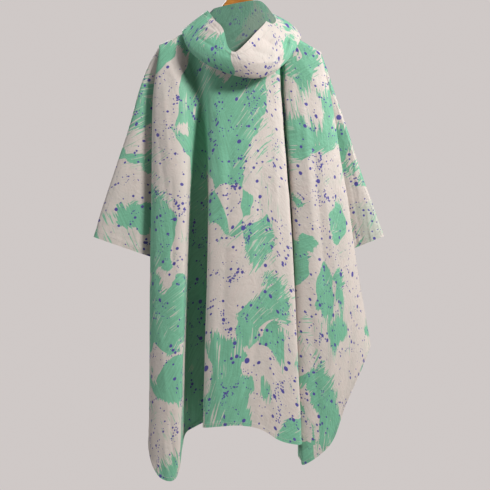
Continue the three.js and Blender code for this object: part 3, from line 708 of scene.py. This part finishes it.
# Rows: x and z of a crease's two ends, width, height. Negative heights press the cloth in.
BACK_CREASES = [
    (-166, -540, -164, -800, 9, -2.2),
    (-190, -300, -172, -520, 12, 1.8),
    (-205, -420, -176, -640, 10, -1.6),
    (-196, -900, -170, -1180, 12, 2.0),
    (-172, -1120, -160, -1262, 7, -2.4),
    (-186, -1180, -178, -1270, 6, 2.0),
    (-60, -330, -30, -760, 22, 3.0),
    (-20, -420, -46, -980, 16, -2.6),
    (14, -360, 44, -900, 20, 2.4),
    (52, -520, 30, -1120, 15, -2.4),
    (84, -400, 98, -980, 14, 2.2),
    (-66, -860, -52, -1150, 12, 2.2),
    (4, -900, 22, -1150, 13, -2.2),
    (70, -960, 92, -1180, 12, 2.0),
    (-60, -452, 96, -462, 9, 0.9),
    (-66, -700, 110, -716, 10, -0.9),
    (150, -330, 182, -700, 16, 2.6),
    (176, -420, 214, -860, 13, -2.4),
    (204, -560, 250, -900, 12, 2.0),
    (168, -820, 196, -1180, 14, -2.4),
    (236, -860, 214, -1130, 13, 2.2),
    (282, -880, 262, -1060, 10, -1.8),
    (128, -300, 142, -480, 10, 1.6),
    (-186, -262, -150, -330, 14, 2.0),
    (150, -262, 196, -330, 13, 1.8),
    (-140, -240, -112, -330, 12, 1.6),
]

BACK_MIDDLE = 17 * LINE_PLACES
back_u = np.linspace(0, len(BACK) - 1, LINE_PLACES * (len(BACK) - 1) + 1)
back_v = fall_rows(132, 0.99)
back_grid = panel_points(BACK, True, back_u, back_v)
back_uv = cloth_uv(back_grid, BACK_MIDDLE)
back_out = -normals_of(back_grid)
edge_room = smooth(0, 1.2, np.minimum(back_u, len(BACK) - 1 - back_u))[None, :]
edge_room = edge_room * smooth(0.012, 0.06, back_v)[:, None]
to_hem = back_uv[1][-1] - back_uv[1]
lift = creases(back_grid[..., 0], back_grid[..., 2], BACK_CREASES)
lift += 0.0022 * soft_noise(*back_uv, (0.075, 0.42), 21) + crinkles(*back_uv, 31)
lift = lift * edge_room + hem_lift(to_hem, back_uv[0], 41)
back_grid = back_grid + lift[..., None] * back_out
back_out = -normals_of(back_grid)
flipped_uv = [c[:, ::-1] for c in back_uv]
back = shell("back_cloth", back_grid[:, ::-1], back_out[:, ::-1], flipped_uv, "back_panel")
hem_row = int(np.argmin(np.abs(to_hem[:, BACK_MIDDLE] - HEM + STITCHED_IN)))
back_hem = (back_grid[hem_row] + ON_CLOTH * back_out[hem_row], back_out[hem_row])
back_stitch = stitches("back_hem_stitches", [back_hem], THREAD)

# Front panel
# The same cloth, sewn to the back at the shoulders and down the sides, with a lower neckline. It
# isn't seen in the photograph, so it hangs in a few plain folds.

FRONT = np.array(
    [
        (-202, -190, -187, -185, -9, -12, -12, -1122),
        (-201, -199, -200, -203, -1, -5, -4, -1124),
        (-199, -211, -216, -220, 2, 8, 10, -1130),
        (-195, -205, -210, -214, 11, 19, 21, -1138),
        (-165, -162, -166, -175, 13, 16, 17, -1166),
        (-116, -112, -114, -120, 16, 30, 32, -1156),
        (-84, -80, -82, -84, 15, 24, 26, -1145),
        (-78, -72, -70, -72, 15, 21, 21, -1142),
        (-74.5, -64, -60, -61, 15, 17, 16, -1139),
        (-65, -54, -49, -50, 14, 12, 10, -1136),
        (-42, -36, -33, -33, 12, 9, 7, -1132),
        (-6, -2, 0, 0, 15, 17, 18, -1127),
        (6, 10, 14, 15, 16, 20, 21, -1127),
        (39, 42, 47, 50, 16, 20, 21, -1133),
        (60, 63, 70, 76, 15, 16, 16, -1138),
        (69.5, 74, 84, 92, 14, 11, 11, -1142),
        (73, 82, 96, 105, 13, 10, 9, -1146),
        (80, 92, 110, 122, 14, 13, 13, -1152),
        (110, 120, 145, 162, 16, 26, 28, -1168),
        (150, 163, 200, 226, 15, 23, 25, -1142),
        (182, 200, 240, 286, 10, 14, 12, -1056),
        (197, 216, 258, 318, 1, 4, -2, -982),
        (200, 204, 248, 320, -1, -6, -11, -969),
        (202, 193, 236, 320, -9, -12, -12, -965),
    ]
) / 1000
FRONT_CREASES = [
    (-150, -330, -140, -900, 18, 2.6),
    (-186, -420, -160, -800, 12, -2.0),
    (-100, -460, -118, -1040, 14, -2.4),
    (-20, -330, -8, -760, 14, 2.4),
    (20, -500, 34, -1060, 15, -2.2),
    (62, -360, 84, -820, 12, 2.0),
    (140, -360, 176, -900, 16, 2.6),
    (176, -460, 220, -960, 13, -2.2),
    (232, -760, 256, -1020, 12, 2.0),
    (-60, -900, -52, -1120, 12, 2.2),
    (96, -900, 118, -1130, 12, 2.2),
    (-150, -270, -110, -350, 12, 1.8),
    (120, -270, 168, -350, 12, 1.8),
]

FRONT_MIDDLE = 11 * LINE_PLACES
FRONT_PRINT = (2.4, 0.07)
front_u = np.linspace(0, len(FRONT) - 1, LINE_PLACES * (len(FRONT) - 1) + 1)
front_v = fall_rows(120, 0.92)
front_grid = panel_points(FRONT, False, front_u, front_v)
front_uv = cloth_uv(front_grid, FRONT_MIDDLE)
front_uv = (front_uv[0] + FRONT_PRINT[0], front_uv[1] + FRONT_PRINT[1])
front_out = normals_of(front_grid)
edge_room = smooth(0, 1.2, np.minimum(front_u, len(FRONT) - 1 - front_u))[None, :]
edge_room = edge_room * smooth(0.012, 0.07, front_v)[:, None]
to_hem = front_uv[1][-1] - front_uv[1]
lift = creases(front_grid[..., 0], front_grid[..., 2], FRONT_CREASES)
lift += 0.0022 * soft_noise(*front_uv, (0.08, 0.4), 22) + crinkles(*front_uv, 32)
lift = lift * edge_room + hem_lift(to_hem, front_uv[0], 42)
front_grid = front_grid + lift[..., None] * front_out
front_out = normals_of(front_grid)
front = shell("front_cloth", front_grid, front_out, front_uv, "front_panel")
hem_row = int(np.argmin(np.abs(to_hem[:, FRONT_MIDDLE] - HEM + STITCHED_IN)))
front_hem = (front_grid[hem_row] + ON_CLOTH * front_out[hem_row], front_out[hem_row])
front_stitch = stitches("front_hem_stitches", [front_hem], THREAD)

# Sleeves
# Each is one piece of the same cloth folded along its outer edge, sewn into the armhole behind the
# body's fold and closed under the arm. The cuff is hemmed and the outer edge topstitched.

SLEEVES = {
    "left": {
        "side": -1, "corner": (-0.365, 0, -0.697), "cuff": (-0.190, 0, -0.758), "full": 0.013,
        "bow": (10, 12, 6, 5, 4), "flat": (0.30, 0.58), "area": 0.105, "seed": 51, "shift": -1.3,
    },
    "right": {
        "side": 1, "corner": (0.358, 0, -0.695), "cuff": (0.270, 0, -0.731), "full": 0.012,
        "bow": (1, 0, 0, -2, 0), "flat": (0.22, 0.56), "area": 0.065, "seed": 61, "shift": 1.6,
    },
}
BOW_AT = (0, 0.1, 0.22, 0.42, 0.65, 0.85, 1)
LAPPED = WALL + 3 * SEAM_GAP
CUFF_HEM = 0.017
SLEEVE_FOLD = 60
BESIDE_FOLD = 9


def armhole_x(side, z):
    line = BACK[-1 if side > 0 else 0]
    top = float(ridge(side * SHOULDER_REACH))
    return through(LEVELS, line[:4], (top - z) / (top - line[7]))


def sleeve_points(shape, share, face, down):
    """Points (down, around, 3). share is 1 at the underarm and 0 on the outer fold, and face is
    -1 for the layer behind the poncho's back and 1 for the one in front. The layers lie together
    behind the body's fold and stand apart beyond it."""
    side, under = shape["side"], UNDERARM[shape["side"]]
    top = float(ridge(side * SHOULDER_REACH))
    place = share**1.6
    start_z = top - WALL - SEAM_GAP + (under - top + WALL + SEAM_GAP) * place
    body = seam_depth(start_z + (WALL + SEAM_GAP) * (1 - place), top, side)
    aside = 0.004 * (1 - np.clip((body - LAPPED - 0.001) / 0.002, 0, 1))
    start_x = armhole_x(side, start_z) + side * aside * smooth(0, 0.05, place)
    start_y = np.maximum(body - LAPPED, np.where(share > 0, (WALL + SEAM_GAP) / 2, 0))
    corner, cuff = np.array(shape["corner"]), np.array(shape["cuff"])
    end = corner + (cuff - corner) * (share**1.25)[:, None]
    down = down[:, None]
    x = start_x + (end[:, 0] - start_x) * down
    z = start_z + (end[:, 2] - start_z) * down
    bow = through(BOW_AT, np.array((0, *shape["bow"], 0)) / 1000, down)
    x = x + side * bow * (1 - share) ** 3
    level = np.maximum(seam_depth(z, top, side) - LAPPED, (WALL + SEAM_GAP) / 2)
    near = np.minimum(start_y, level)
    near = near + ((WALL + SEAM_GAP) / 2 - near) * share * down
    behind = smooth(0.016, 0.076, np.abs(x) - np.abs(armhole_x(side, z)))
    round_fold = np.where(down > 0, np.sqrt(1 - (1 - share) ** 8), 1.0)
    y = near + (shape["full"] - near) * behind * smooth(0, 0.25, down)
    return np.stack([x, face * y * round_fold, z], -1)


for word, shape in SLEEVES.items():
    turn = np.linspace(0, 1, SLEEVE_FOLD + 1)
    share = np.concatenate([1 - turn, turn[1:]])
    share = np.where(share < 0.3, share**1.25 * 0.3 ** (-0.25), share)
    face = np.r_[-np.ones(SLEEVE_FOLD + 1), np.ones(SLEEVE_FOLD)]
    down = np.unique(np.r_[np.linspace(0, 1, 96), 0.004, 0.985, 0.976, 0.9745, 0.99])
    grid = sleeve_points(shape, share, face, down)
    uv = cloth_uv(grid, SLEEVE_FOLD)
    uv = (uv[0] + shape["shift"], uv[1] + 0.11)
    out = normals_of(grid) * (-1 if shape["side"] > 0 else 1)
    to_cuff = uv[1][-1] - uv[1]
    room = smooth(0, 0.12, 1 - share)[None, :] * smooth(0, 0.08, down)[:, None]
    room = room * (0.4 + 0.6 * smooth(0, 0.2, share))[None, :]
    lift = 0.0016 * soft_noise(*uv, (0.06, 0.2), shape["seed"]) + crinkles(*uv, shape["seed"] + 1)
    lift = lift * room
    lift += hem_lift(to_cuff, uv[0], shape["seed"] + 5, CUFF_HEM) * smooth(0, 0.1, 1 - share)
    grid = grid + lift[..., None] * out
    out = normals_of(grid) * (-1 if shape["side"] > 0 else 1)
    flip = slice(None, None, -1) if shape["side"] > 0 else slice(None)
    fold_x = grid[:, SLEEVE_FOLD : SLEEVE_FOLD + 1, 0]
    laid = (fold_x - face * (grid[..., 0] - fold_x) + shape["shift"], -grid[..., 2])
    laid = [c[:, flip] for c in laid]
    piece = shell(f"sleeve_{word}_cloth", grid[:, flip], out[:, flip], laid, f"sleeve_{word}")
    row = int(np.argmin(np.abs(to_cuff[:, SLEEVE_FOLD] - CUFF_HEM + STITCHED_IN)))
    paths = [(grid[row, 2:-2] + ON_CLOTH * out[row, 2:-2], out[row, 2:-2])]
    for column in (SLEEVE_FOLD - BESIDE_FOLD, SLEEVE_FOLD + BESIDE_FOLD):
        line, up = grid[3:, column], out[3:, column]
        paths.append((line + ON_CLOTH * up, up))
    thread = stitches(f"sleeve_{word}_stitches", paths, THREAD)

# Hood
# Two halves sewn together over the crown and into the neckline. It has fallen back in a deep bag:
# its lower layer shows the cloth's inner face at the neck, and its face edge is turned and stitched.


RIM_SHARE = 0.66
BODY_FULL = 0.024


def hood_points(rows, share):
    """Points (share, row, 3) of the hood's profile at each row: up from the neck seam, over and
    down inside the bag to the rim, and back up outside it to the face edge."""
    neck, rim, edge, puff = rows[:, 0:3], rows[:, 3:6], rows[:, 6:9], rows[:, 9:10]
    up = np.array([0, 0, 1.0])
    run = rim - neck
    away = run * [1, 1, 0]
    away /= np.linalg.norm(away, axis=1)[:, None]
    run = run / np.linalg.norm(run, axis=1)[:, None]
    swell = away + up
    swell = swell - (swell * run).sum(1)[:, None] * run
    swell /= np.linalg.norm(swell, axis=1)[:, None]
    stand = np.minimum(0.006, puff + 0.001)
    stops = np.stack(
        [
            neck + 3 * SEAM_GAP * up,
            neck + stand * up,
            neck + 1.1 * stand * up + 0.9 * stand * away,
            neck + 0.5 * (rim - neck) + 0.003 * swell,
            neck + 0.88 * (rim - neck) + 0.001 * swell,
            rim,
            rim + 0.12 * (edge - rim) + 0.75 * puff * swell,
            rim + 0.5 * (edge - rim) + puff * swell,
            edge,
        ]
    )
    points = through((0, 0.04, 0.1, 0.36, 0.58, RIM_SHARE, 0.72, 0.86, 1), stops, share)
    x, y, z = np.moveaxis(points, -1, 0)
    clear = 0.003 + 0.005 * smooth(0.6, 0.72, share)[:, None]
    fall = ridge(x) + clear - z
    body = over_bar(x, z - clear) + BODY_FULL * np.clip(fall / 0.15, 0, 1)
    body += clear * smooth(0, 0.01, fall)
    held = np.where(np.abs(y) < body, np.sign(y) * body - y, 0)
    return np.stack([x, y + held * smooth(0.04, 0.12, share)[:, None], z], -1)


# The pinch at the hood's right side and the folds that run from it, then drag lines of the bag.
HOOD_CREASES = [
    (121, -206, 96, -292, 6, -6.5),
    (112, -214, 100, -266, 7, 4.0),
    (116, -210, 72, -226, 6, 3.0),
    (124, -204, 92, -214, 5, -2.4),
    (124, -206, 100, -246, 4, -3.4),
    (126, -204, 140, -232, 4, -3.2),
    (120, -200, 100, -176, 4, -2.0),
    (130, -198, 146, -206, 4, -2.0),
    (-84, -150, -44, -176, 7, -2.4),
    (-96, -176, -44, -214, 8, 2.0),
    (-110, -206, -50, -252, 9, -2.0),
    (-60, -240, 8, -276, 8, 1.8),
    (20, -246, 84, -268, 9, -2.0),
    (30, -286, 96, -276, 8, 1.8),
    (44, -206, 84, -240, 8, -1.8),
]

HOOD_PLACES = 12
HOOD_HEM = 0.010
HOOD_PRINT = (3.7, 0.4)
hood_count = len(HOOD) - 1
hood_u = np.linspace(0, hood_count, HOOD_PLACES * hood_count + 1)
hood_rows = through(np.arange(hood_count + 1), HOOD, hood_u)
on_back = (hood_u >= LEFT_NECK) & (hood_u <= RIGHT_NECK)
neck_x = np.clip(hood_rows[:, 0], HOOD[LEFT_NECK, 0], HOOD[RIGHT_NECK, 0])
for is_back in (True, False):
    neck_y, neck_z = neck_at(neck_x, is_back)
    chosen = on_back == is_back
    hood_rows[chosen, 1] = (-neck_y if is_back else neck_y)[chosen]
    hood_rows[chosen, 2] = neck_z[chosen]
hood_share = np.r_[np.linspace(0, 0.1, 8), np.linspace(0.1, 0.6, 30), np.linspace(0.6, 1, 60)]
hood_share = np.unique(np.r_[hood_share, 0.965, 0.97])
hood_grid = hood_points(hood_rows, hood_share)
seam = BACK_NECK * HOOD_PLACES
hood_uv = cloth_uv(hood_grid, seam)
around_bag = hood_uv[0][int(np.argmin(np.abs(hood_share - 0.86)))]
around_bag = np.broadcast_to(around_bag, hood_uv[0].shape)
hood_uv = (around_bag + HOOD_PRINT[0], hood_uv[1] + HOOD_PRINT[1])
hood_out = normals_of(hood_grid)
bag = smooth(0.62, 0.7, hood_share)[:, None]
lift = creases(hood_grid[..., 0], hood_grid[..., 2], HOOD_CREASES) * bag
lift = lift * (hood_grid[..., 1] < 0)
lift += (0.0012 * soft_noise(*hood_uv, (0.05, 0.07), 71) + crinkles(*hood_uv, 72)) * (0.3 + 0.7 * bag)
lift *= smooth(0, 0.12, hood_share)[:, None]
to_edge = hood_uv[1][-1] - hood_uv[1]
lift += hem_lift(to_edge, hood_uv[0], 73, HOOD_HEM)
hood_grid = hood_grid + lift[..., None] * hood_out
hood_out = normals_of(hood_grid)
for word, columns in (("left", slice(0, seam + 1)), ("right", slice(seam, None))):
    grid = hood_grid[:, columns].copy()
    out = hood_out[:, columns]
    edge, inward = (-1, -2) if word == "left" else (0, 1)
    step = grid[:, inward] - grid[:, edge]
    grid[:, edge] += SEAM_GAP / 4 * step / np.linalg.norm(step, axis=1)[:, None]
    uv = [c[:, columns] for c in hood_uv]
    piece = shell(f"hood_{word}_cloth", grid, out, uv, f"hood_{word}")
    row = int(np.argmin(np.abs(to_edge[:, seam] - HOOD_HEM + STITCHED_IN)))
    path = (grid[row] + ON_CLOTH * out[row], out[row])
    beside = 2 if word == "right" else grid.shape[1] - 3
    low = int(np.argmin(np.abs(hood_share - RIM_SHARE)))
    crown = (grid[low:, beside] + ON_CLOTH * out[low:, beside], out[low:, beside])
    thread = stitches(f"hood_{word}_stitches", [path, crown], THREAD)

# Floor, lights and camera
# A plain pale floor well below the hanging part, soft studio light, and the photograph's view:
# level, two metres back, with the hanger's hook cut off by the picture's top.

floor_material, tree, shader = new_material("floor", Roughness=0.9)
place = add(tree, "TexCoord").outputs["Object"]
speckle = add(tree, "TexNoise", {"Vector": place, "Scale": 30.0, "Detail": 4.0}).outputs["Fac"]
tree.links.new(
    mix(tree, speckle, (0.70, 0.66, 0.645, 1), (0.74, 0.70, 0.685, 1)), shader.inputs["Base Color"]
)
FLOOR_RADIUS = 1.6
FLOOR_Z = -1.9
round_floor = np.radians(np.arange(0, 360, 3))
rim = np.stack([np.cos(round_floor), np.sin(round_floor), 0 * round_floor], -1)
rim = FLOOR_RADIUS * rim + (0, 0, FLOOR_Z)
floor_mesh = bpy.data.meshes.new("floor")
floor_mesh.from_pydata(rim.tolist(), [], [tuple(range(len(rim)))])
floor_mesh.materials.append(floor_material)
floor = bpy.data.objects.new("floor", floor_mesh)
bpy.context.scene.collection.objects.link(floor)
floor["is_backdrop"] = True

world = bpy.data.worlds.new("studio")
bpy.context.scene.world = world
world.use_nodes = True
sky = world.node_tree
seen = add(sky, "LightPath").outputs["Is Camera Ray"]
level = add(sky, "MapRange", {"Value": seen, "To Min": 0.055, "To Max": 0.78}).outputs[0]
sky.nodes["Background"].inputs["Color"].default_value = (0.80, 0.745, 0.73, 1)
sky.links.new(level, sky.nodes["Background"].inputs["Strength"])

for name, place, aim, size, power, colour in (
    ("key", (2.0, -1.6, 0.7), (0, 0, -0.65), 0.6, 92, (1.0, 0.985, 0.965)),
    ("fill", (-2.6, -1.2, 0.2), (0, 0, -0.7), 0.9, 26, (0.96, 0.98, 1.0)),
    ("top", (0.7, -0.6, 1.5), (0, 0, -0.6), 0.9, 14, (1.0, 1.0, 1.0)),
    ("behind", (-1.2, 2.2, 0.9), (0, 0, -0.6), 1.6, 50, (1.0, 0.99, 0.97)),
):
    light = bpy.data.lights.new(name, "AREA")
    light.size, light.energy, light.color = size, power, colour
    lamp = bpy.data.objects.new(name, light)
    away = np.array(place) - np.array(aim)
    lamp.location = place
    lamp.rotation_euler = (
        math.atan2(math.hypot(away[0], away[1]), away[2]),
        0,
        math.atan2(away[0], -away[1]),
    )
    bpy.context.scene.collection.objects.link(lamp)

bpy.context.scene.view_settings.view_transform = "Standard"

SEEN_WIDTH = 1.225
CAMERA_AWAY = 2.0
camera_data = bpy.data.cameras.new("camera")
camera_data.sensor_width = 36.0
camera_data.lens = camera_data.sensor_width / SEEN_WIDTH * CAMERA_AWAY
camera = bpy.data.objects.new("camera", camera_data)
camera.location = (0.012, -CAMERA_AWAY, -0.717)
camera.rotation_euler = (math.radians(90), 0, 0)
bpy.context.scene.collection.objects.link(camera)
bpy.context.scene.camera = camera

low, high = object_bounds()
